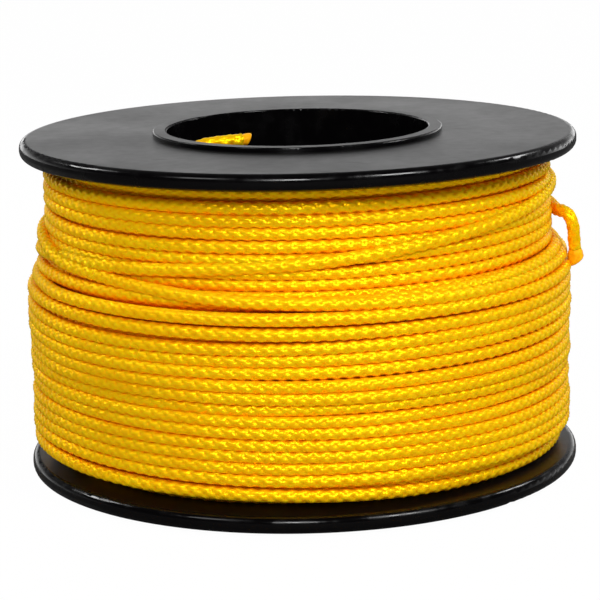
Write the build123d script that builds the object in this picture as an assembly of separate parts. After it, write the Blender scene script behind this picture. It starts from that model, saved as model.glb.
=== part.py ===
from build123d import *
import os
from math import asin, cos, pi, radians, sin, tan

# A small cord spool: a hollow barrel that carries two thin round flanges, wound full with braided cord.
# Units are millimetres. The spool stands on its lower end, centred on the Z axis, with z = 0 at the floor.
# The face that is looked at points along -Y.

# Driving dimensions: the mouldings
FLANGE_RADIUS = 28.5
FLANGE_THICKNESS = 1.7
FLANGE_SPACING = 32.7        # between the flanges' middle planes
RIM_ROUNDING = 0.72          # the rim is rounded to almost a half circle
RING_PROUD = 0.45            # how far each end of the barrel stands out of its flange
RING_RADIUS = 14.85          # outside of the barrel's ends, where the flanges fit
BARREL_RADIUS = 15.3         # outside of the barrel where the cord is wound
BORE_RADIUS = 13.2
MOUTH_RADIUS = 13.45         # the bore is a little wider at both ends
MOUTH_DEPTH = 4.0
EDGE_ROUNDING = 0.15
SNAP_HEIGHT = 0.12           # ridge round each end of the barrel that holds its flange
SNAP_WIDTH = 0.6
SEAM_WIDTH = 0.8             # shallow groove down the bore, at the back
SEAM_DEPTH = 0.3
SEAM_ANGLE = 97.4            # degrees from +X, anticlockwise from above

# Driving dimensions: the cord
CORD_DIAMETER = 1.18
START_HOLE_RADIUS = 0.75
START_HOLE_ANGLE = 203.0     # degrees from +X
START_HOLE_BELOW_TOP = 3.1   # its centre, below the top of the spool
FREE_TAIL_ANGLE = -6.0       # degrees from +X
START_TIP = (1.12, 0.8)      # a melted tip: its widest part, in cord radii, and its length
FREE_TIP = (1.46, 1.5)
TIP_RIM = 0.72               # where along a tip it is widest, as a share of its length

# Heights that follow from them
HEIGHT = FLANGE_SPACING + FLANGE_THICKNESS + 2 * RING_PROUD
MIDDLE = HEIGHT / 2
LOWER_FLANGE_TOP = RING_PROUD + FLANGE_THICKNESS
UPPER_FLANGE_BOTTOM = HEIGHT - LOWER_FLANGE_TOP
CORD_RADIUS = CORD_DIAMETER / 2

# Outer shape of the winding: (height above the middle, radius)
WINDING_OUTLINE = [
    (-14.2, 25.9),
    (-12.4, 27.5),
    (-9.8, 27.0),
    (-6.0, 27.7),
    (-1.0, 27.9),
    (3.0, 27.2),
    (8.0, 26.1),
    (13.0, 26.0),
]
WINDING_FOOT_RADIUS = 24.4
WINDING_HEAD_RADIUS = 25.8

# The free end: (radius from the axis, height above the middle), in one upright plane
FREE_TAIL_POINTS = [
    (26.10, 8.50),
    (27.10, 8.75),
    (27.95, 8.10),
    (28.25, 6.80),
    (28.25, 5.60),
    (28.38, 4.70),
]

# The start: (x, y, depth below the top of the spool), after its first point in the barrel's wall
START_TAIL_POINTS = [
    (-12.25, -5.20, 3.05),
    (-11.20, -4.75, 1.75),
    (-9.85, -4.52, 1.08),
    (-8.40, -4.35, 0.90),
    (-6.95, -4.05, 0.80),
    (-5.60, -3.60, 0.78),
]


def flange():
    """One flange, lying on z = 0: a flat disc with a rounded rim, and a groove for the snap ridge."""
    disc = Cylinder(FLANGE_RADIUS, FLANGE_THICKNESS, align=(Align.CENTER, Align.CENTER, Align.MIN))
    disc = fillet(disc.edges().filter_by(GeomType.CIRCLE), RIM_ROUNDING)
    hole = Cylinder(RING_RADIUS, FLANGE_THICKNESS, align=(Align.CENTER, Align.CENTER, Align.MIN))
    return disc - hole - snap_ridge(FLANGE_THICKNESS / 2)


def snap_ridge(height):
    """The low ridge round an end of the barrel, centred at this height. It is a triangle in section."""
    half = SNAP_WIDTH / 2
    root = RING_RADIUS - SNAP_HEIGHT
    section = Polyline(
        (root, 0, height - half),
        (RING_RADIUS, 0, height - half),
        (RING_RADIUS + SNAP_HEIGHT, 0, height),
        (RING_RADIUS, 0, height + half),
        (root, 0, height + half),
        close=True,
    )
    return revolve(make_face(section), Axis.Z, 360)


def barrel():
    """The core: a tube with a shoulder under each flange, snap ridges, wide mouths and the cord's hole."""
    body = Cylinder(RING_RADIUS, HEIGHT, align=(Align.CENTER, Align.CENTER, Align.MIN))
    waist = Pos(0, 0, MIDDLE) * Cylinder(BARREL_RADIUS, UPPER_FLANGE_BOTTOM - LOWER_FLANGE_TOP)
    body += waist
    body -= Pos(0, 0, MIDDLE) * Cylinder(BORE_RADIUS, HEIGHT)
    for end in (0, HEIGHT - MOUTH_DEPTH):
        body -= Pos(0, 0, end) * Cylinder(MOUTH_RADIUS, MOUTH_DEPTH, align=(Align.CENTER, Align.CENTER, Align.MIN))
    ends = body.edges().filter_by(GeomType.CIRCLE)
    ends = ends.filter_by(lambda edge: edge.center().Z < 0.01 or edge.center().Z > HEIGHT - 0.01)
    body = fillet(ends, EDGE_ROUNDING)
    for flange_bottom in (RING_PROUD, UPPER_FLANGE_BOTTOM):
        body += snap_ridge(flange_bottom + FLANGE_THICKNESS / 2)
    seam = Rot(0, 0, SEAM_ANGLE) * Pos(BORE_RADIUS, 0, MIDDLE) * Box(2 * SEAM_DEPTH, SEAM_WIDTH, HEIGHT)
    hole_height = HEIGHT - START_HOLE_BELOW_TOP
    hole = Rot(0, 0, START_HOLE_ANGLE) * Pos(BARREL_RADIUS, 0, hole_height) * Rot(0, 90, 0)
    return body - seam - hole * Cylinder(START_HOLE_RADIUS, 6)


def winding():
    """The outer shape of the wound cord, between the flanges and round the barrel."""
    points = [(radius, 0, MIDDLE + height) for height, radius in WINDING_OUTLINE]
    foot = (WINDING_FOOT_RADIUS, 0, LOWER_FLANGE_TOP)
    head = (WINDING_HEAD_RADIUS, 0, UPPER_FLANGE_BOTTOM)
    outside = Spline(foot, *points, head)
    inside = Polyline(head, (BARREL_RADIUS, 0, head[2]), (BARREL_RADIUS, 0, foot[2]), foot)
    return revolve(make_face([outside, inside]), Axis.Z, 360)


def arc_radii(points):
    """The radius of the arc at each corner, as large as its two runs allow."""
    radii = []
    for before, corner, after in zip(points, points[1:], points[2:]):
        arrive = corner - before
        leave = after - corner
        half_turn = radians(arrive.get_angle(leave)) / 2
        radii.append(0.45 * min(arrive.length, leave.length) / tan(half_turn))
    return radii


def cord_tube(name, points):
    """A round tube of straight runs joined by tangent arcs, through these points."""
    radii = arc_radii(points)
    path = FilletPolyline(*points, radius=radii)
    start = Plane(origin=points[0], z_dir=points[1] - points[0])
    tube = sweep(start * Circle(CORD_RADIUS), path=path)
    volume = pi * CORD_RADIUS**2 * path.length
    print(name, "arc radii", [round(radius, 2) for radius in radii], "length", round(path.length, 2))
    print(name, "volume over section times length", round(tube.volume / volume, 4))
    return tube


def melted_tip(points, size):
    """A heat-sealed end: it flares from the cord's section and is closed by a low dome."""
    spread, length = size
    flare = CORD_RADIUS * spread
    rim = length * TIP_RIM
    rise = length - rim
    dome_radius = (flare**2 + rise**2) / (2 * rise)
    half_way = asin(flare / dome_radius) / 2
    dome = ThreePointArc(
        (flare, 0, rim),
        (dome_radius * sin(half_way), 0, length - dome_radius * (1 - cos(half_way))),
        (0, 0, length),
    )
    sides = Polyline((0, 0, length), (0, 0, 0), (CORD_RADIUS, 0, 0), (flare, 0, rim))
    tip = revolve(make_face([sides, dome]), Axis.Z, 360)
    return Plane(origin=points[-1], z_dir=points[-1] - points[-2]) * tip


def free_tail_points():
    """The free end's route, turned to where it leaves the winding."""
    angle = radians(FREE_TAIL_ANGLE)
    return [Vector(r * cos(angle), r * sin(angle), MIDDLE + z) for r, z in FREE_TAIL_POINTS]


def start_tail_points():
    """The start's route: from the winding's inside, straight in through the barrel's wall."""
    angle = radians(START_HOLE_ANGLE)
    first = Vector(BARREL_RADIUS * cos(angle), BARREL_RADIUS * sin(angle), HEIGHT - START_HOLE_BELOW_TOP)
    return [first] + [Vector(x, y, HEIGHT - depth) for x, y, depth in START_TAIL_POINTS]


def main():
    free_end = free_tail_points()
    start_end = start_tail_points()
    nodes = {
        "barrel": barrel(),
        "lower_flange": Pos(0, 0, RING_PROUD) * flange(),
        "upper_flange": Pos(0, 0, UPPER_FLANGE_BOTTOM) * flange(),
        "cord_winding": winding(),
        "cord_start_tail": cord_tube("start tail", start_end),
        "start_tip": melted_tip(start_end, START_TIP),
        "cord_free_tail": cord_tube("free tail", free_end),
        "free_tip": melted_tip(free_end, FREE_TIP),
    }
    os.makedirs("parts", exist_ok=True)
    for name, shape in nodes.items():
        export_step(shape, f"parts/{name}.step")


main()
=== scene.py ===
import math

import bmesh
import bpy
import numpy as np
from mathutils import Matrix, Vector


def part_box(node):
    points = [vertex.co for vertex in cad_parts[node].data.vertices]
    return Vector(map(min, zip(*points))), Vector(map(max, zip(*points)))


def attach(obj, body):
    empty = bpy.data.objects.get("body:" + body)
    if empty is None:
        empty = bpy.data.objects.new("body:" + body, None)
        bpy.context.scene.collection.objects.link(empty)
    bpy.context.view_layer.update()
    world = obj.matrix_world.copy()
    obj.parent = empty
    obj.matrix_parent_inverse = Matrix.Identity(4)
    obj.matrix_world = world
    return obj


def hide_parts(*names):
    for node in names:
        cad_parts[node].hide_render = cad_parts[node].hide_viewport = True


# A small moulded spool wound full with yellow braided cord, on a pale floor under soft studio light.
# Lengths are metres in the frame's own axes: +Z up along the spool, -Y towards the viewer.

MM = 0.001
FULL_TURN = 2 * math.pi

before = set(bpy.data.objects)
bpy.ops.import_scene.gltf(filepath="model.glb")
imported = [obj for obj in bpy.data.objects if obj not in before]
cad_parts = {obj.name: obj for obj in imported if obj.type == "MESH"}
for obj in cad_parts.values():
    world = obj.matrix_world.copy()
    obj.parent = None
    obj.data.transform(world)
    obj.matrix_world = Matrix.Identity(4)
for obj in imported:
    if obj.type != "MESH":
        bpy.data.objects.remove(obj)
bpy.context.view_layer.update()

# Places that follow from the frame
spool_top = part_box("barrel")[1].z
middle = spool_top / 2
barrel_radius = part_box("barrel")[1].x
room_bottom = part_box("lower_flange")[1].z
room_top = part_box("upper_flange")[0].z

# The cord. Angles are from +X, anticlockwise from above.
CORD_DIAMETER = 1.18 * MM
CORD_RADIUS = CORD_DIAMETER / 2
START_HOLE_ANGLE = math.radians(203.0)
START_HOLE_BELOW_TOP = 3.1 * MM
FREE_TAIL_ANGLE = math.radians(-6.0)


# ---------------------------------------------------------------------------------------------------------
# Camera, lights and floor

def add_camera():
    """A long lens a quarter of a metre away, a little above the spool and turned by about one degree."""
    distance = 252 * MM
    elevation = math.radians(12.0)
    roll = math.radians(-1.31)
    right = Vector((1, 0, 0))
    up = Vector((0, math.sin(elevation), math.cos(elevation)))
    back = Vector((0, -math.cos(elevation), math.sin(elevation)))
    rolled_right = math.cos(roll) * right + math.sin(roll) * up
    rolled_up = math.cos(roll) * up - math.sin(roll) * right
    place = Vector((0, 0, middle)) + distance * back
    data = bpy.data.cameras.new("camera")
    data.sensor_width = 36
    data.lens = 145.06
    data.shift_x = -0.0018
    data.shift_y = -0.0097
    data.clip_start = 0.01
    camera = bpy.data.objects.new("camera", data)
    bpy.context.scene.collection.objects.link(camera)
    turn = Matrix((rolled_right, rolled_up, back)).transposed()
    camera.matrix_world = Matrix.Translation(place) @ turn.to_4x4()
    bpy.context.scene.camera = camera


SOFTBOXES = [                   # (name, degrees round from the viewer, degrees up, distance, size, power)
    ("key", 44, 40, 0.55, 0.14, 1.72),
    ("fill", -46, 42, 0.55, 0.14, 0.36),
    ("front", -4, 31, 0.55, 0.12, 1.48),
    ("left edge", -112, 38, 0.55, 0.10, 0.62),
    ("right edge", 118, 38, 0.55, 0.10, 0.50),
]
EVEN_GLOW = 0.22                # strength of the even glow that only dull surfaces see


def add_softbox(name, azimuth, elevation, distance, size, power):
    """A square area light facing the middle of the spool: azimuth 0 is the viewer's side, 90 the right."""
    data = bpy.data.lights.new(name, "AREA")
    data.shape = "SQUARE"
    data.size = size
    data.energy = power
    light = bpy.data.objects.new(name, data)
    bpy.context.scene.collection.objects.link(light)
    around = math.radians(azimuth)
    above = math.radians(elevation)
    level = math.cos(above)
    outward = Vector((math.sin(around) * level, -math.cos(around) * level, math.sin(above)))
    light.location = Vector((0, 0, middle)) + distance * outward
    light.rotation_euler = (-outward).to_track_quat("-Z", "Y").to_euler()


def add_world():
    """A studio that is bright behind the object and dark behind the viewer. The viewer sees plain white.

    An even glow that only dull surfaces see stands for the light that gets through and round the cord."""
    world = bpy.data.worlds.new("studio")
    world.cycles.sampling_method = "NONE"
    bpy.context.scene.world = world
    world.use_nodes = True
    nodes, links = world.node_tree.nodes, world.node_tree.links
    # what the viewer sees
    backdrop = nodes.new("ShaderNodeBackground")
    backdrop.inputs["Color"].default_value = (1, 1, 1, 1)
    backdrop.inputs["Strength"].default_value = 1.05
    # what the object sees: brighter towards the back, and darker higher up
    surroundings = nodes["Background"]
    coords = nodes.new("ShaderNodeTexCoord")
    split = nodes.new("ShaderNodeSeparateXYZ")
    links.new(coords.outputs["Generated"], split.inputs[0])
    depth = nodes.new("ShaderNodeMapRange")
    depth.inputs["From Min"].default_value = -1
    links.new(split.outputs["Y"], depth.inputs["Value"])
    ramp = nodes.new("ShaderNodeValToRGB")
    shades = ((0.25, 0.05), (0.50, 0.17), (0.75, 0.60), (0.95, 1.5))
    fill_ramp(ramp, [(place, (shade, shade, shade)) for place, shade in shades])
    links.new(depth.outputs["Result"], ramp.inputs[0])
    links.new(ramp.outputs[0], surroundings.inputs["Color"])
    height = nodes.new("ShaderNodeMapRange")
    height.inputs["From Max"].default_value = 0.27
    height.inputs["To Min"].default_value = 1.45
    height.inputs["To Max"].default_value = 0.15
    links.new(split.outputs["Z"], height.inputs["Value"])
    links.new(height.outputs["Result"], surroundings.inputs["Strength"])
    # the even glow
    path = nodes.new("ShaderNodeLightPath")
    share = nodes.new("ShaderNodeMath")
    share.operation = "MULTIPLY"
    share.inputs[1].default_value = EVEN_GLOW
    links.new(path.outputs["Is Diffuse Ray"], share.inputs[0])
    glow = nodes.new("ShaderNodeBackground")
    glow.inputs["Color"].default_value = (1, 1, 1, 1)
    links.new(share.outputs[0], glow.inputs["Strength"])
    both = nodes.new("ShaderNodeAddShader")
    links.new(surroundings.outputs[0], both.inputs[0])
    links.new(glow.outputs[0], both.inputs[1])
    # together
    mix = nodes.new("ShaderNodeMixShader")
    links.new(path.outputs["Is Camera Ray"], mix.inputs[0])
    links.new(both.outputs[0], mix.inputs[1])
    links.new(backdrop.outputs[0], mix.inputs[2])
    links.new(mix.outputs[0], nodes["World Output"].inputs["Surface"])


def fill_ramp(ramp, stops):
    """Sets a colour ramp's stops: (place, colour)."""
    elements = ramp.color_ramp.elements
    while len(elements) < len(stops):
        elements.new(0.5)
    for element, (place, colour) in zip(elements, stops):
        element.position = place
        element.color = (*colour, 1)


def add_floor():
    """A large white floor. The viewer sees it almost evenly lit, with a faint shadow round the spool."""
    half = 3.0
    mesh = bpy.data.meshes.new("floor")
    corners = [(-half, -half, 0), (half, -half, 0), (half, half, 0), (-half, half, 0)]
    mesh.from_pydata(corners, [], [(0, 1, 2, 3)])
    floor = bpy.data.objects.new("floor", mesh)
    bpy.context.scene.collection.objects.link(floor)
    material = bpy.data.materials.new("floor")
    material.use_nodes = True
    nodes, links = material.node_tree.nodes, material.node_tree.links
    shader = nodes["Principled BSDF"]
    shader.inputs["Roughness"].default_value = 0.9
    glow = nodes.new("ShaderNodeEmission")
    glow.inputs["Strength"].default_value = 1.12
    # pale for dull surfaces that it lights, dark in the glossy plastic's reflections
    ray = nodes.new("ShaderNodeLightPath")
    paint = nodes.new("ShaderNodeMix")
    paint.data_type = "RGBA"
    paint.inputs[6].default_value = (0.08, 0.08, 0.08, 1)
    paint.inputs[7].default_value = (0.75, 0.75, 0.75, 1)
    links.new(ray.outputs["Is Diffuse Ray"], paint.inputs[0])
    links.new(paint.outputs[2], shader.inputs["Base Color"])
    # the viewer sees mostly the glow
    share = nodes.new("ShaderNodeMath")
    share.operation = "MULTIPLY"
    share.inputs[1].default_value = 0.88
    links.new(ray.outputs["Is Camera Ray"], share.inputs[0])
    mix = nodes.new("ShaderNodeMixShader")
    links.new(share.outputs[0], mix.inputs[0])
    links.new(shader.outputs[0], mix.inputs[1])
    links.new(glow.outputs[0], mix.inputs[2])
    links.new(mix.outputs[0], nodes["Material Output"].inputs["Surface"])
    mesh.materials.append(material)


# ---------------------------------------------------------------------------------------------------------
# The cord's route

ROUTE_SEED = 7
STEPS = 64                      # places in each turn where the route has a point
STRAIGHTNESS = 30.0             # how strongly the cord resists going sideways
GUIDE_PULL = 1.5                # how strongly it follows the winder's guide
SIDEWAYS = 0.7                  # how far it may leave the guide, in diameters
CHOICES = 31                    # how many places across that range it chooses from
LAID_BEFORE = 80                # how many of the turns before it a turn can rest on
SMOOTHED_STEPS = 3              # how many steps each way its path is smoothed over
JOIN = 4                        # steps of the turn before that are smoothed along with it
LAYER_SQUEEZE = 0.955           # how close turns lie in the even passes, as a share of the diameter
LOOSE_SQUEEZE = 0.90            # and in the last passes
LAST_SQUEEZE = 0.72             # the last turns press into those that they cross
LAST_TURNS = 2
STEEP_SQUEEZE = 0.56            # the turn that slants down the front is pulled deep between the others

# How the winder's guide moves. It starts at the top and fills the spool in nine even passes and a looser
# one. Then it goes down the front at a slant, lays two more layers over the lower two thirds, and rises on
# the left to where the free end leaves. Heights are above the middle, in millimetres.
GUIDE_START = 14.6
GUIDE_TURN_BACK = 14.85         # how far from the middle an even pass goes
EVEN_PASSES = 9
EVEN_TURNS = 25.0
LOOSE_PASSES = [                # (turns, height at their end)
    (25.0, 14.85),
    (0.58, 11.3),
    (0.45, 5.5),
    (16.3, -14.1),
    (15.56, 4.4),
    (0.147, 9.0),
]
LAST_HEIGHT = 8.5

# How unevenly the guide moves
WANDER = [                      # (millimetres, steps a bump is long), everywhere
    (0.06, 40),
    (0.09, 150),
]
RIPPLE = (0.10, 45)             # the same, in the loose passes only
DRIFT = 0.34                    # millimetres that the loose passes' turns spread and crowd in patches
DRIFT_TURNS = 3.2               # how many turns high a patch is
DRIFT_KNOTS = 5                 # and how many patches go round the spool
LOOSE_GROWS = 4.0               # turns over which the loose passes' unevenness grows
LOOSE_FADES = (2.0, 0.7)        # it fades between these, in turns before the end


def guide_passes():
    """(turns, height at their end) of every pass. The last one ends where the free tail leaves."""
    passes = []
    for number in range(EVEN_PASSES):
        passes.append((EVEN_TURNS, GUIDE_TURN_BACK if number % 2 else -GUIDE_TURN_BACK))
    passes += LOOSE_PASSES
    wound = sum(turns for turns, _ in passes)
    part_turn = (START_HOLE_ANGLE - FREE_TAIL_ANGLE) / FULL_TURN
    passes.append(((part_turn - wound) % 1, LAST_HEIGHT))
    return passes


def guide_heights(rng):
    """The guide's height at every step, from the first turn to the last. The loose passes are less even."""
    turns = [0.0]
    heights = [GUIDE_START]
    for count, end in guide_passes():
        turns.append(turns[-1] + count)
        heights.append(end)
    steps = int(round(turns[-1] * STEPS))
    at = np.arange(steps + 1) / STEPS
    wander = sum(size * smooth_noise(rng, steps + 1, reach) for size, reach in WANDER)
    ripple, ripple_reach = RIPPLE
    looseness = ripple * smooth_noise(rng, steps + 1, ripple_reach) + DRIFT * slow_drift(rng, at)
    loose_from = EVEN_PASSES * EVEN_TURNS
    fading, even = LOOSE_FADES
    changes = [loose_from, loose_from + LOOSE_GROWS, at[-1] - fading, at[-1] - even]
    share = np.interp(at, changes, [0, 1, 1, 0])
    return middle + MM * (np.interp(at, turns, heights) + wander + share * looseness)


def eased(t):
    """A share from 0 to 1 that starts and ends gently."""
    return t * t * (3 - 2 * t)


def between(knots, at):
    """Smooth values between the knots, where at counts them."""
    base = at.astype(int)
    share = eased(at - base)
    return knots[base] * (1 - share) + knots[base + 1] * share


def smooth_noise(rng, count, reach):
    """Random values that change slowly: about one bump in every reach steps, with a spread of one."""
    knots = rng.standard_normal(count // reach + 4)
    return between(knots, np.arange(count) / reach)


def slow_drift(rng, at):
    """Random values, with a spread of one, that change slowly round the spool and from turn to turn."""
    knots = rng.standard_normal((int(at[-1] / DRIFT_TURNS) + 3, DRIFT_KNOTS))
    row = at / DRIFT_TURNS
    column = (at % 1) * DRIFT_KNOTS
    below = row.astype(int)
    before = column.astype(int)
    up = eased(row - below)
    on = eased(column - before)
    after = (before + 1) % DRIFT_KNOTS
    before = before % DRIFT_KNOTS
    first = knots[below, before] * (1 - on) + knots[below, after] * on
    second = knots[below + 1, before] * (1 - on) + knots[below + 1, after] * on
    return first * (1 - up) + second * up


def resting_radius(heights, laid_heights, laid_radii, squeeze):
    """The smallest radius at which cord at these heights rests on what is already wound, for each step.

    heights is (choices, steps); laid_heights and laid_radii are (turns, steps)."""
    across = laid_heights[:, None, :] - heights[None, :, :]
    rise = np.sqrt(np.maximum((squeeze * CORD_DIAMETER) ** 2 - across**2, 0))
    held = np.where(rise > 0, laid_radii[:, None, :] + rise, 0)
    return np.maximum(held.max(axis=0), barrel_radius + CORD_RADIUS)


def settle(guide, previous, laid_heights, laid_radii, squeeze):
    """One turn's heights: the easiest path into the grooves of the turns below, near the guide."""
    offsets = np.linspace(-SIDEWAYS, SIDEWAYS, CHOICES) * CORD_DIAMETER
    heights = guide[None, :] + offsets[:, None]
    heights = np.clip(heights, room_bottom + CORD_RADIUS, room_top - CORD_RADIUS)
    radii = resting_radius(heights, laid_heights, laid_radii, squeeze)
    cost = radii / CORD_DIAMETER + GUIDE_PULL * (offsets[:, None] / CORD_DIAMETER) ** 2
    best = np.zeros((CHOICES, len(guide)), int)
    total = cost[:, 0] + STRAIGHTNESS * ((heights[:, 0] - previous) / CORD_DIAMETER) ** 2
    for step in range(1, len(guide)):
        jump = (heights[:, step][:, None] - heights[:, step - 1][None, :]) / CORD_DIAMETER
        ways = total[None, :] + STRAIGHTNESS * jump**2
        best[:, step] = ways.argmin(axis=1)
        total = ways[np.arange(CHOICES), best[:, step]] + cost[:, step]
    choice = int(total.argmin())
    chosen = np.empty(len(guide))
    for step in range(len(guide) - 1, -1, -1):
        chosen[step] = heights[choice, step]
        choice = best[choice, step]
    return chosen


def blurred(values, weights):
    """values smoothed along their length by these weights."""
    reach = len(weights) // 2
    padded = np.concatenate([np.full(reach, values[0]), values, np.full(reach, values[-1])])
    return np.convolve(padded, weights, "valid")


def bell(reach):
    """Weights of a bell curve that is reach steps wide each way."""
    at = np.arange(-reach, reach + 1) / (reach / 2)
    weights = np.exp(-at * at / 2)
    return weights / weights.sum()


def squeeze_of(turn, turns):
    """How close a turn lies to those under it, as a share of the diameter."""
    loose_from = EVEN_PASSES * EVEN_TURNS
    steep_turn = loose_from + LOOSE_PASSES[0][0]
    if turn >= turns - LAST_TURNS:
        return LAST_SQUEEZE
    if turn == steep_turn:
        return STEEP_SQUEEZE
    return LAYER_SQUEEZE if turn < loose_from else LOOSE_SQUEEZE


def wind():
    """Heights and radii of the whole winding, one value a step, each turn laid on the ones before it."""
    rng = np.random.default_rng(ROUTE_SEED)
    guide = guide_heights(rng)
    turns = math.ceil(len(guide) / STEPS)
    guide = np.concatenate([guide, np.full(turns * STEPS - len(guide), guide[-1])])
    guide = guide.reshape(turns, STEPS)
    heights = np.empty((turns, STEPS))
    radii = np.empty((turns, STEPS))
    previous = guide[0, 0]
    smoothing = bell(SMOOTHED_STEPS)
    for turn in range(turns):
        recent = slice(max(0, turn - LAID_BEFORE), turn)
        laid_heights = heights[recent]
        laid_radii = radii[recent]
        if turn == 0:
            laid_heights = np.zeros((1, STEPS))
            laid_radii = np.zeros((1, STEPS))
        squeeze = squeeze_of(turn, turns)
        line = settle(guide[turn], previous, laid_heights, laid_radii, squeeze)
        before = heights[turn - 1, -JOIN:] if turn else np.full(JOIN, previous)
        line = blurred(np.concatenate([before, line]), smoothing)[JOIN:]
        rest = resting_radius(line[None, :], laid_heights, laid_radii, squeeze)[0]
        before = radii[turn - 1, -JOIN:] if turn else np.full(JOIN, rest[0])
        radii[turn] = blurred(np.concatenate([before, rest]), smoothing)[JOIN:]
        heights[turn] = line
        previous = line[-1]
    return heights, radii


# The two loose ends, in millimetres: points listed one by one, close to those of the CAD part
FREE_TAIL_POINTS = [            # (degrees from +X, radius from the axis, height above the middle)
    (-3.0, 26.55, 8.50),
    (-5.5, 27.35, 8.70),
    (-6.5, 27.98, 8.00),
    (-6.5, 28.25, 6.80),
    (-6.0, 28.25, 5.60),
    (-6.0, 28.38, 4.70),
]
START_TAIL_POINTS = [           # (x, y, depth below the top), from the tip to the inside of the hole
    (-5.60, -3.60, 0.78),
    (-6.95, -4.05, 0.80),
    (-8.40, -4.35, 0.90),
    (-9.85, -4.52, 1.08),
    (-11.20, -4.75, 1.75),
    (-12.25, -5.20, 3.05),
]
TAIL_CLEARS = 2                 # steps of the last turn that give way to the free tail's first points


def at_angle(radius, angle, height):
    """The place at this radius, angle and height."""
    return (radius * math.cos(angle), radius * math.sin(angle), height)


def wound_steps():
    """How many points of the route lie in the winding, its first one included."""
    turns = sum(turns for turns, _ in guide_passes())
    return int(round(turns * STEPS)) + 1 - TAIL_CLEARS


def route_points(heights, radii):
    """Every point of the cord's route, from the end in the bore to the free end."""
    count = wound_steps()
    heights = heights.ravel()[:count]
    radii = radii.ravel()[:count]
    angles = START_HOLE_ANGLE - np.arange(count) / STEPS * FULL_TURN
    wound = np.stack([radii * np.cos(angles), radii * np.sin(angles), heights], axis=1)
    start = [(x * MM, y * MM, spool_top - depth * MM) for x, y, depth in START_TAIL_POINTS]
    start.append(at_angle(barrel_radius, START_HOLE_ANGLE, spool_top - START_HOLE_BELOW_TOP))
    free = [at_angle(r * MM, math.radians(a), middle + z * MM) for a, r, z in FREE_TAIL_POINTS]
    return np.concatenate([start, wound[1:], free])


def spline_line(points):
    """The smooth line that a NURBS spline makes of these control points, as an array of places."""
    curve = bpy.data.curves.new("cord_route", "CURVE")
    curve.dimensions = "3D"
    spline = curve.splines.new("NURBS")
    spline.points.add(len(points) - 1)
    flat = np.concatenate([points, np.ones((len(points), 1))], axis=1).ravel()
    spline.points.foreach_set("co", flat)
    spline.order_u = 3
    spline.use_endpoint_u = True
    curve.resolution_u = 2
    carrier = bpy.data.objects.new("cord_route", curve)
    mesh = bpy.data.meshes.new_from_object(carrier)
    line = np.empty(len(mesh.vertices) * 3)
    mesh.vertices.foreach_get("co", line)
    bpy.data.meshes.remove(mesh)
    bpy.data.objects.remove(carrier)
    bpy.data.curves.remove(curve)
    return line.reshape(-1, 3)


def covered(heights, radii):
    """For each step of the winding, whether later turns hide it from outside.

    It is hidden when a later turn lies over each of a row of samples across the cord."""
    laid_after = 90
    higher_by = 0.25 * CORD_DIAMETER
    reach = 0.45 * CORD_DIAMETER
    samples = np.linspace(-0.46, 0.46, 7) * CORD_DIAMETER
    hidden = np.zeros(heights.shape, bool)
    for turn in range(len(heights) - 1):
        over_heights = heights[turn + 1:turn + laid_after]
        over_radii = radii[turn + 1:turn + laid_after]
        above = over_radii > radii[turn] + higher_by
        seen = np.zeros(heights.shape[1], bool)
        for sample in samples:
            near = np.abs(over_heights - heights[turn] - sample) < reach
            seen |= ~(near & above).any(axis=0)
        hidden[turn] = ~seen
    return hidden


# ---------------------------------------------------------------------------------------------------------
# The braided cord's mesh

LAY = 5.1 * MM                  # how far along the cord a strand takes to go once round
CARRIERS = 4                    # strands going round each way
WEAVE = 0.12                    # how far a strand rises over another, as a share of the radius
STRAND_CROWN = 0.18             # how far a strand's middle stands above its edges, as a share of the radius
BULK = 1.06                     # the plaits swell a little, so that neighbouring turns touch
FACING = 1 / 16                 # turns the braid so that two columns of plaits face outwards
TWIST_SEED = 11
TWIST_EVERY = 0.03              # metres between the places where the braid turns about its middle
TWIST = 0.03                    # the spread of how far it turns there, in turns
FILAMENTS = 5                   # fine lines along each strand

SIDES = 16                      # columns of the braided surface
RINGS_PER_LAY = 32              # rings of the braided surface
PLAIN_SIDES = SIDES // 2        # columns where the cord is buried
PLAIN_STEP = 2.6 * MM           # distance between its rings there
PLAIN_BULK = 1.04               # a buried tube's corners, as a share of the radius
SHORTEST_PLAIN_RUN = 3          # in plain steps: shorter buried stretches stay braided
SEEN_MARGIN = 5                 # steps of the route round each seen one that are braided too

TIP_SIDES = 14                  # columns of a melted tip
TIP_LUMPS = 0.05                # how uneven a melted tip is, as a share of its radius
TIP_SLANT = 0.55                # how far its face leans


def braid_height(along, around):
    """Height of a diamond braid's surface: along in lays, around in turns. Shares of the radius."""
    one_way = CARRIERS * (around + along)
    other_way = CARRIERS * (around - along)

    def strand(across, crossing, sign):
        middle_of = np.round(across)
        off = across - middle_of
        wave = np.cos(math.pi * (crossing - middle_of))
        return sign * WEAVE * wave + STRAND_CROWN * (1 - (2 * off) ** 2)

    return np.maximum(strand(one_way, other_way, 1), strand(other_way, one_way, -1))


def resampled(line, along, at):
    """The line's places at these distances along it."""
    return np.stack([np.interp(at, along, line[:, axis]) for axis in range(3)], axis=1)


def frames(line):
    """Two directions across the cord at every place of its line, turning as little as they can."""
    tangents = np.gradient(line, axis=0)
    tangents /= np.linalg.norm(tangents, axis=1)[:, None]
    across = np.array((0, 0, 1.0)) - tangents[:, 2:3] * tangents
    level = np.abs(tangents[:, 2]) < 0.5
    first = int(np.argmax(level))
    last = len(line) - 1 - int(np.argmax(level[::-1]))
    across /= np.maximum(np.linalg.norm(across, axis=1), 1e-9)[:, None]
    for place in list(range(first - 1, -1, -1)) + list(range(last + 1, len(line))):
        source = across[place + 1] if place < first else across[place - 1]
        turned = source - source.dot(tangents[place]) * tangents[place]
        across[place] = turned / np.linalg.norm(turned)
    return across, np.cross(tangents, across)


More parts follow.
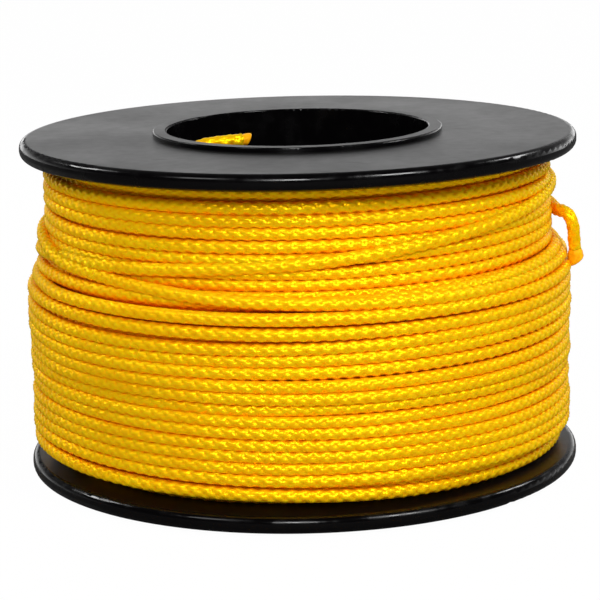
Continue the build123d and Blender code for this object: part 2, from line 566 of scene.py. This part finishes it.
def ring_places(along, hidden_at):
    """Where the tube has rings, and whether each is a plain one: close together where it is seen."""
    fine = LAY / RINGS_PER_LAY
    every = np.arange(0, along[-1], fine)
    every = np.append(every, along[-1])
    hidden = hidden_at(every)
    keep = np.ones(len(every), bool)
    stride = int(round(PLAIN_STEP / fine))
    run = np.flatnonzero(np.diff(np.concatenate([[0], hidden.astype(int), [0]])))
    plain = np.zeros(len(every), bool)
    for first, end in zip(run[::2], run[1::2]):
        if end - first < SHORTEST_PLAIN_RUN * stride:
            continue
        plain[first:end] = True
        keep[first:end] = (np.arange(end - first) % stride) == 0
    return every[keep], plain[keep]


def tube_faces(plain):
    """Vertex numbers of the tube's faces, and how many vertices come before each ring."""
    sizes = np.where(plain, PLAIN_SIDES, SIDES)
    starts = np.concatenate([[0], np.cumsum(sizes)])
    quads = []
    triangles = []
    for kind, size in ((False, SIDES), (True, PLAIN_SIDES)):
        same = np.flatnonzero((plain[:-1] == kind) & (plain[1:] == kind))
        column = np.arange(size)
        here = starts[same][:, None]
        there = starts[same + 1][:, None]
        after = (column + 1) % size
        corners = [here + column, here + after, there + after, there + column]
        quads.append(np.stack(corners, axis=2).reshape(-1, 4))
    # where a plain stretch meets a braided one, each plain column meets two braided ones
    for change in np.flatnonzero(plain[:-1] != plain[1:]):
        coarse, fine = (change, change + 1) if plain[change] else (change + 1, change)
        flip = coarse > fine
        for column in range(PLAIN_SIDES):
            plain_here = starts[coarse] + column
            plain_next = starts[coarse] + (column + 1) % PLAIN_SIDES
            braid_here = starts[fine] + 2 * column
            braid_middle = starts[fine] + 2 * column + 1
            braid_next = starts[fine] + (2 * column + 2) % SIDES
            fan = (
                (plain_here, braid_middle, braid_here),
                (plain_here, plain_next, braid_middle),
                (plain_next, braid_next, braid_middle),
            )
            for triangle in fan:
                triangles.append(triangle[::-1] if flip else triangle)
    return np.concatenate(quads), np.array(triangles, int).reshape(-1, 3), starts


def distances(places):
    """How far along its line each place is."""
    return np.concatenate([[0], np.cumsum(np.linalg.norm(np.diff(places, axis=0), axis=1))])


def hidden_along(points, heights, radii, length):
    """A function that says whether later turns hide the cord, at distances along it."""
    start_count = len(START_TAIL_POINTS) + 1
    free_count = len(FREE_TAIL_POINTS)
    wound_count = len(points) - start_count - free_count
    hidden = covered(heights, radii).ravel()[1:wound_count + 1]
    seen = np.convolve(~hidden, np.ones(SEEN_MARGIN), "same") > 0
    state = np.concatenate([np.zeros(start_count), ~seen, np.zeros(free_count)])
    walk = distances(points)
    walk *= length / walk[-1]
    return lambda at: np.interp(at, walk, state) > 0.5


def slow_twist(places):
    """How far the braid has turned about its own middle, in turns, at each place."""
    rng = np.random.default_rng(TWIST_SEED)
    knots = rng.standard_normal(int(places[-1] / TWIST_EVERY) + 4) * TWIST
    return between(knots, places / TWIST_EVERY)


def build_cord():
    """The cord as one mesh, and the line it follows."""
    heights, radii = wind()
    points = route_points(heights, radii)
    line = spline_line(points)
    along = distances(line)
    places, plain = ring_places(along, hidden_along(points, heights, radii, along[-1]))
    centres = resampled(line, along, places)
    side, out = frames(centres)
    quads, triangles, starts = tube_faces(plain)
    sizes = np.diff(starts)
    ring_of = np.repeat(np.arange(len(places)), sizes)
    column = np.arange(starts[-1]) - starts[ring_of]
    around = column / sizes[ring_of]
    twist = slow_twist(places)
    turn = FULL_TURN * (around + FACING + twist[ring_of])
    lays = places[ring_of] / LAY
    height = braid_height(lays, around)
    radius = CORD_RADIUS * (BULK - STRAND_CROWN + height)
    radius = np.where(plain[ring_of], CORD_RADIUS * PLAIN_BULK, radius)
    vertices = centres[ring_of] + radius[:, None] * (
        np.cos(turn)[:, None] * side[ring_of] + np.sin(turn)[:, None] * out[ring_of])
    mesh = bpy.data.meshes.new("cord")
    first = tuple(range(SIDES))
    final = tuple(range(starts[-1] - SIDES, starts[-1]))
    fill_mesh(mesh, vertices, quads, triangles, [first[::-1], final])
    set_uv(mesh, lays, around)
    cord = bpy.data.objects.new("cord", mesh)
    bpy.context.scene.collection.objects.link(cord)
    return cord, line


def melted_tip(name, line, spread, length, longest, seed):
    """A sealed end on the last stretch of line: it swells from the cord and ends in a lumpy, slanted face.

    The tip is longest on the side that the direction longest points to."""
    end = Vector(line[-1])
    outward = (end - Vector(line[-4])).normalized()
    longest = Vector(longest)
    side = (longest - longest.dot(outward) * outward).normalized()
    other = outward.cross(side)
    rng = np.random.default_rng(seed)
    lumps = rng.uniform(-1, 1, (3, TIP_SIDES))
    shape = [                   # (share of the length, share of the widest radius)
        (-0.30, 0.93 / spread), (-0.05, 1.03 / spread), (0.10, 0.90), (0.28, 0.97), (0.45, 0.95),
        (0.62, 1.00), (0.76, 0.99), (0.87, 0.90), (0.94, 0.74), (0.97, 0.50), (0.96, 0.25),
    ]
    mesh = bpy.data.meshes.new(name)
    build = bmesh.new()
    rings = []
    for number, (share, width) in enumerate(shape):
        bulge = lumps[number % 3] + np.roll(lumps[(number + 1) % 3], number)
        ring = []
        for corner in range(TIP_SIDES):
            angle = FULL_TURN * corner / TIP_SIDES
            uneven = 1 + TIP_LUMPS * float(bulge[corner]) * (share > 0)
            radius = CORD_RADIUS * spread * width * uneven
            slant = TIP_SLANT * radius * math.cos(angle) * max(share, 0)
            place = end + outward * (share * length + slant)
            sideways = math.cos(angle) * side + math.sin(angle) * other
            ring.append(build.verts.new(place + radius * sideways))
        rings.append(ring)
    for ring, following in zip(rings, rings[1:]):
        for corner in range(TIP_SIDES):
            after = (corner + 1) % TIP_SIDES
            build.faces.new((ring[corner], ring[after], following[after], following[corner]))
    build.faces.new(rings[0][::-1])
    build.faces.new(rings[-1])
    bmesh.ops.recalc_face_normals(build, faces=build.faces)
    for face in build.faces:
        face.smooth = True
    build.to_mesh(mesh)
    build.free()
    tip = bpy.data.objects.new(name, mesh)
    bpy.context.scene.collection.objects.link(tip)
    rounding = tip.modifiers.new("rounding", "SUBSURF")
    rounding.levels = rounding.render_levels = 2
    return tip


def fill_mesh(mesh, vertices, quads, triangles, caps):
    """Puts all the faces into the mesh at once."""
    corners = np.concatenate([quads.ravel(), triangles.ravel(), np.array(caps).ravel()])
    sizes = np.concatenate([np.full(len(quads), 4), np.full(len(triangles), 3), [len(cap) for cap in caps]])
    mesh.vertices.add(len(vertices))
    mesh.vertices.foreach_set("co", vertices.ravel())
    mesh.loops.add(len(corners))
    mesh.loops.foreach_set("vertex_index", corners)
    mesh.polygons.add(len(sizes))
    mesh.polygons.foreach_set("loop_start", np.concatenate([[0], np.cumsum(sizes)[:-1]]))
    mesh.polygons.foreach_set("use_smooth", np.ones(len(sizes), bool))
    mesh.update(calc_edges=True)
    mesh.validate()


def set_uv(mesh, lays, around):
    """UVs in lays along the cord and turns around it, unbroken where the last column meets the first."""
    corner_vertex = np.empty(len(mesh.loops), int)
    mesh.loops.foreach_get("vertex_index", corner_vertex)
    face_start = np.empty(len(mesh.polygons), int)
    mesh.polygons.foreach_get("loop_start", face_start)
    face_size = np.empty(len(mesh.polygons), int)
    mesh.polygons.foreach_get("loop_total", face_size)
    v = around[corner_vertex]
    face_of = np.repeat(np.arange(len(face_size)), face_size)
    highest = np.maximum.reduceat(v, face_start)
    lowest = np.minimum.reduceat(v, face_start)
    wraps = (highest - lowest > 0.5) & (face_size <= 4)     # all but the two round ends
    v = np.where(wraps[face_of] & (v < 0.5), v + 1, v)
    layer = mesh.uv_layers.new(name="braid")
    layer.data.foreach_set("uv", np.stack([lays[corner_vertex], v], axis=1).ravel())


# ---------------------------------------------------------------------------------------------------------
# Materials

class Nodes:
    """Short ways to add nodes to one material."""

    def __init__(self, name):
        self.material = bpy.data.materials.new(name)
        self.material.use_nodes = True
        self.tree = self.material.node_tree
        self.shader = self.tree.nodes["Principled BSDF"]

    def link(self, source, target):
        """Joins an output to an input, or sets the input if the source is a plain value."""
        if isinstance(source, bpy.types.NodeSocket):
            self.tree.links.new(source, target)
        else:
            target.default_value = source

    def maths(self, operation, *values):
        """One sum of these values, which are outputs or plain numbers."""
        node = self.tree.nodes.new("ShaderNodeMath")
        node.operation = operation
        for value, socket in zip(values, node.inputs):
            self.link(value, socket)
        return node.outputs[0]

    def mapped(self, value, low, high, to_low=0.0, to_high=1.0):
        """value taken from one range to another, and held inside it."""
        node = self.tree.nodes.new("ShaderNodeMapRange")
        self.link(value, node.inputs["Value"])
        node.inputs["From Min"].default_value = low
        node.inputs["From Max"].default_value = high
        node.inputs["To Min"].default_value = to_low
        node.inputs["To Max"].default_value = to_high
        return node.outputs["Result"]

    def noise(self, place, scale, detail=2.0, stretch=None):
        """Noise with so many bumps a metre, at this place on the piece."""
        if stretch:
            bend = self.tree.nodes.new("ShaderNodeMapping")
            bend.inputs["Scale"].default_value = stretch
            self.link(place, bend.inputs["Vector"])
            place = bend.outputs[0]
        node = self.tree.nodes.new("ShaderNodeTexNoise")
        node.inputs["Scale"].default_value = scale
        node.inputs["Detail"].default_value = detail
        self.link(place, node.inputs["Vector"])
        return node.outputs[0]

    def ramp(self, value, stops):
        """The colour at this value between the stops: (place, colour)."""
        node = self.tree.nodes.new("ShaderNodeValToRGB")
        fill_ramp(node, stops)
        self.link(value, node.inputs[0])
        return node.outputs[0]

    def mixed(self, share, first, second):
        """Two colours mixed, with this share of the second."""
        node = self.tree.nodes.new("ShaderNodeMix")
        node.data_type = "RGBA"
        self.link(share, node.inputs[0])
        self.link(first, node.inputs[6])
        self.link(second, node.inputs[7])
        return node.outputs[2]

    def openness(self, reach, own_piece):
        """How free the space round a point is, of its own piece or of all: 1 in the open, 0 in a gap."""
        node = self.tree.nodes.new("ShaderNodeAmbientOcclusion")
        node.samples = 4
        node.only_local = own_piece
        node.inputs["Distance"].default_value = reach
        return node.outputs["AO"]

    def coordinates(self, kind):
        """A place on the piece: its own coordinates, or its UVs."""
        return self.tree.nodes.new("ShaderNodeTexCoord").outputs[kind]

    def bump(self, height, distance, strength=1.0, under=None):
        """A surface raised by this height, on top of another bump if one is given."""
        node = self.tree.nodes.new("ShaderNodeBump")
        node.inputs["Distance"].default_value = distance
        node.inputs["Strength"].default_value = strength
        self.link(height, node.inputs["Height"])
        if under:
            self.link(under, node.inputs["Normal"])
        return node.outputs[0]


def braid_nodes(make):
    """Where a point lies on the braid: how far across the strand on top (-0.5 to 0.5), and how deep."""
    split = make.tree.nodes.new("ShaderNodeSeparateXYZ")
    make.link(make.coordinates("UV"), split.inputs[0])
    along, around = split.outputs["X"], split.outputs["Y"]
    one_way = make.maths("MULTIPLY", make.maths("ADD", around, along), CARRIERS)
    other_way = make.maths("MULTIPLY", make.maths("SUBTRACT", around, along), CARRIERS)

    def strand(across, crossing, sign):
        centre = make.maths("ROUND", across)
        off = make.maths("SUBTRACT", across, centre)
        phase = make.maths("MULTIPLY", make.maths("SUBTRACT", crossing, centre), math.pi)
        wave = make.maths("MULTIPLY", make.maths("COSINE", phase), sign * WEAVE)
        crown = make.maths("MULTIPLY", make.maths("MULTIPLY", off, off), 4 * STRAND_CROWN)
        return off, make.maths("SUBTRACT", wave, crown)

    first_off, first_height = strand(one_way, other_way, 1)
    second_off, second_height = strand(other_way, one_way, -1)
    first_on_top = make.maths("GREATER_THAN", first_height, second_height)
    from_second = make.maths("MULTIPLY", make.maths("SUBTRACT", first_off, second_off), first_on_top)
    off = make.maths("ADD", second_off, from_second)
    depth = make.maths("MULTIPLY", make.maths("MAXIMUM", first_height, second_height), -1.0)
    return off, depth


def cord_material():
    """Glossy golden yarn: light goes a little way in. The grooves between strands, the gaps between turns
    and the nooks near the flanges are painted more orange, as painted shade for the light that bounces in
    them.
    """
    make = Nodes("braided_cord")
    off, depth = braid_nodes(make)
    # painted shade: the braid's grooves between strands get a deeper orange colour, darker the deeper they
    # lie
    painted_groove_shade = make.mapped(depth, 0.0, STRAND_CROWN)
    place = make.coordinates("Object")
    patches = make.noise(place, 260.0, 3.0)
    yarn = make.mixed(make.mapped(patches, 0.3, 0.7), (0.96, 0.50, 0.003, 1), (0.97, 0.57, 0.004, 1))
    colour = make.mixed(painted_groove_shade, yarn, (0.96, 0.45, 0.002, 1))
    # painted shade: where the cord's own turns close in round a point, in the gaps between turns, its
    # colour is painted orange
    painted_gap_shade = make.mapped(make.openness(0.9 * MM, True), 0.90, 0.20)
    colour = make.mixed(painted_gap_shade, colour, (0.98, 0.40, 0.0006, 1))
    # painted shade: close to other parts, such as under the flanges, and deep between turns, the cord is
    # painted more orange
    painted_nook_shade = make.mapped(make.openness(4.0 * MM, False), 0.60, 0.20, 0.0, 0.7)
    colour = make.mixed(painted_nook_shade, colour, (0.97, 0.38, 0.0006, 1))
    make.link(colour, make.shader.inputs["Base Color"])
    make.link(make.mapped(patches, 0.3, 0.7, 0.22, 0.28), make.shader.inputs["Roughness"])
    make.shader.inputs["Metallic"].default_value = 0.38
    make.shader.inputs["Specular IOR Level"].default_value = 0.05
    make.shader.inputs["Specular Tint"].default_value = (1.0, 0.75, 0.05, 1)
    make.shader.inputs["Subsurface Weight"].default_value = 0.60
    make.shader.inputs["Subsurface Radius"].default_value = (1.0, 0.5, 0.04)
    make.shader.inputs["Subsurface Scale"].default_value = 1.0 * MM
    filaments = make.maths("COSINE", make.maths("MULTIPLY", off, FILAMENTS * FULL_TURN))
    plaits = make.bump(make.maths("MULTIPLY", depth, -1.0), 0.45 * CORD_RADIUS)
    make.link(make.bump(filaments, 0.010 * MM, 0.5, under=plaits), make.shader.inputs["Normal"])
    return make.material


def melted_material():
    """Cord that has been melted and set: smoother, darker and a little see-through."""
    make = Nodes("melted_cord")
    place = make.coordinates("Object")
    blotches = make.noise(place, 1600.0, 3.0)
    colour = make.ramp(blotches, [(0.35, (0.72, 0.27, 0.002)), (0.65, (0.88, 0.42, 0.004))])
    make.link(colour, make.shader.inputs["Base Color"])
    make.link(make.mapped(blotches, 0.3, 0.7, 0.22, 0.42), make.shader.inputs["Roughness"])
    make.shader.inputs["Specular IOR Level"].default_value = 0.3
    make.shader.inputs["Specular Tint"].default_value = (1.0, 0.75, 0.1, 1)
    make.shader.inputs["Subsurface Weight"].default_value = 0.2
    make.shader.inputs["Subsurface Radius"].default_value = (1.0, 0.45, 0.04)
    make.shader.inputs["Subsurface Scale"].default_value = 0.6 * MM
    make.link(make.bump(make.noise(place, 5200.0), 0.03 * MM, 0.5), make.shader.inputs["Normal"])
    return make.material


def plastic_material():
    """Black moulded plastic: satin flat faces, faintly mottled and scuffed, and glossy rims."""
    make = Nodes("black_plastic")
    place = make.coordinates("Object")
    geometry = make.tree.nodes.new("ShaderNodeNewGeometry")
    facing = make.tree.nodes.new("ShaderNodeSeparateXYZ")
    make.link(geometry.outputs["Normal"], facing.inputs[0])
    flat = make.mapped(make.maths("ABSOLUTE", facing.outputs["Z"]), 0.90, 0.995)
    mottling = make.noise(place, 900.0, 4.0)
    smudges = make.noise(place, 90.0, 3.0)
    scuffs = make.noise(place, 260.0, 2.0, stretch=(1.0, 14.0, 1.0))
    satin = make.mapped(mottling, 0.3, 0.7, 0.31, 0.34)
    satin = make.maths("ADD", satin, make.mapped(smudges, 0.35, 0.65, -0.02, 0.02))
    satin = make.maths("ADD", satin, make.mapped(scuffs, 0.66, 0.72, 0.0, 0.08))
    haze = make.noise(place, 520.0, 3.0)
    gloss = make.mapped(smudges, 0.3, 0.7, 0.09, 0.15)
    gloss = make.maths("ADD", gloss, make.mapped(haze, 0.42, 0.62, 0.0, 0.16))
    difference = make.maths("SUBTRACT", satin, gloss)
    roughness = make.maths("ADD", gloss, make.maths("MULTIPLY", difference, flat))
    make.link(roughness, make.shader.inputs["Roughness"])
    make.shader.inputs["Specular IOR Level"].default_value = 0.22
    dust = make.mapped(make.noise(place, 1500.0, 1.0), 0.76, 0.80)
    dusty = make.maths("MULTIPLY", dust, flat)
    colour = make.mixed(dusty, (0.0012, 0.0010, 0.0012, 1), (0.04, 0.036, 0.036, 1))
    make.link(colour, make.shader.inputs["Base Color"])
    grain = make.bump(make.noise(place, 2600.0, 2.0), 0.010 * MM, 0.35)
    waviness = make.bump(make.noise(place, 140.0, 1.0), 0.02 * MM, 0.3, under=grain)
    make.link(waviness, make.shader.inputs["Normal"])
    return make.material


add_camera()
add_world()
add_floor()
for softbox in SOFTBOXES:
    add_softbox(*softbox)

cord, cord_line = build_cord()
cord.data.materials.append(cord_material())
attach(cord, "root")
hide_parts("cord_winding", "cord_start_tail", "cord_free_tail")

melted = melted_material()
tips = [
    melted_tip("start_tip_melted", cord_line[:8][::-1],
               spread=1.12, length=0.8 * MM, longest=(0, 0, 1), seed=3),
    melted_tip("free_tip_melted", cord_line[-8:],
               spread=1.46, length=1.5 * MM, longest=(-1, 0, 0), seed=5),
]
for tip, node in zip(tips, ("start_tip", "free_tip")):
    tip.data.materials.append(melted)
    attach(tip, "root")
    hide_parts(node)

plastic = plastic_material()
for name in ("barrel", "lower_flange", "upper_flange"):
    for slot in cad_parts[name].material_slots:
        slot.material = plastic

bpy.context.scene.view_settings.view_transform = "Standard"
bpy.context.scene.cycles.diffuse_bounces = 10   # light has to reach down between the turns
